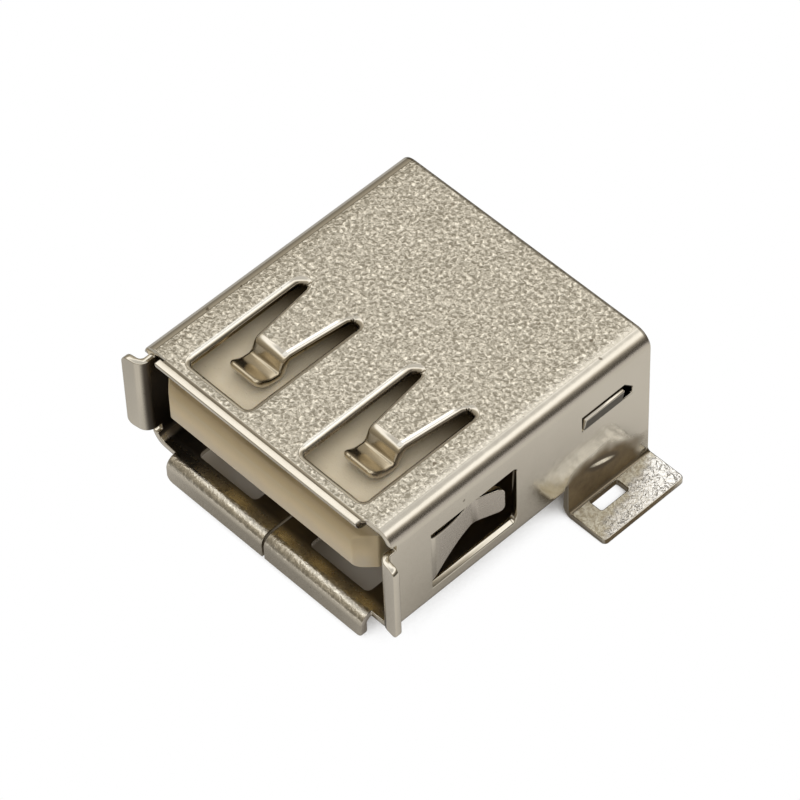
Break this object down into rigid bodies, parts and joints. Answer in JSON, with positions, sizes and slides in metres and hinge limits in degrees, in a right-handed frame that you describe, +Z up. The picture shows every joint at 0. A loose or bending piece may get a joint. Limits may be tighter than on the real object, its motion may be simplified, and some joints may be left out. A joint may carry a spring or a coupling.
{
  "type": "usb socket",
  "caption": "Surface-mount USB type A socket: folded nickel-plated shell with sprung windows, flared mouth lips and solder feet, around a moulded tongue with sprung contacts.",
  "frame": {"origin": "centre of the bounding box in plan, on the plane of the board under the feet and the tails", "axes": "+X across the mouth to the right as seen from the front, +Y from the mouth to the tails, +Z up from the board"},
  "size_m": [0.0168, 0.0148, 0.0072],
  "materials": {
    "shell_plating": "nickel-plated steel sheet, fine orange-peel grain on the roof, satin on the folded sides",
    "insulator_plastic": "cream glass-filled moulding, matt",
    "contact_metal": "plated spring bronze strip"
  },
  "bodies": {
    "root": {"shell": "shell_plating", "insulator": "insulator_plastic", "contact_1": "contact_metal", "contact_2": "contact_metal", "contact_3": "contact_metal", "contact_4": "contact_metal"}
  },
  "joints": []
}
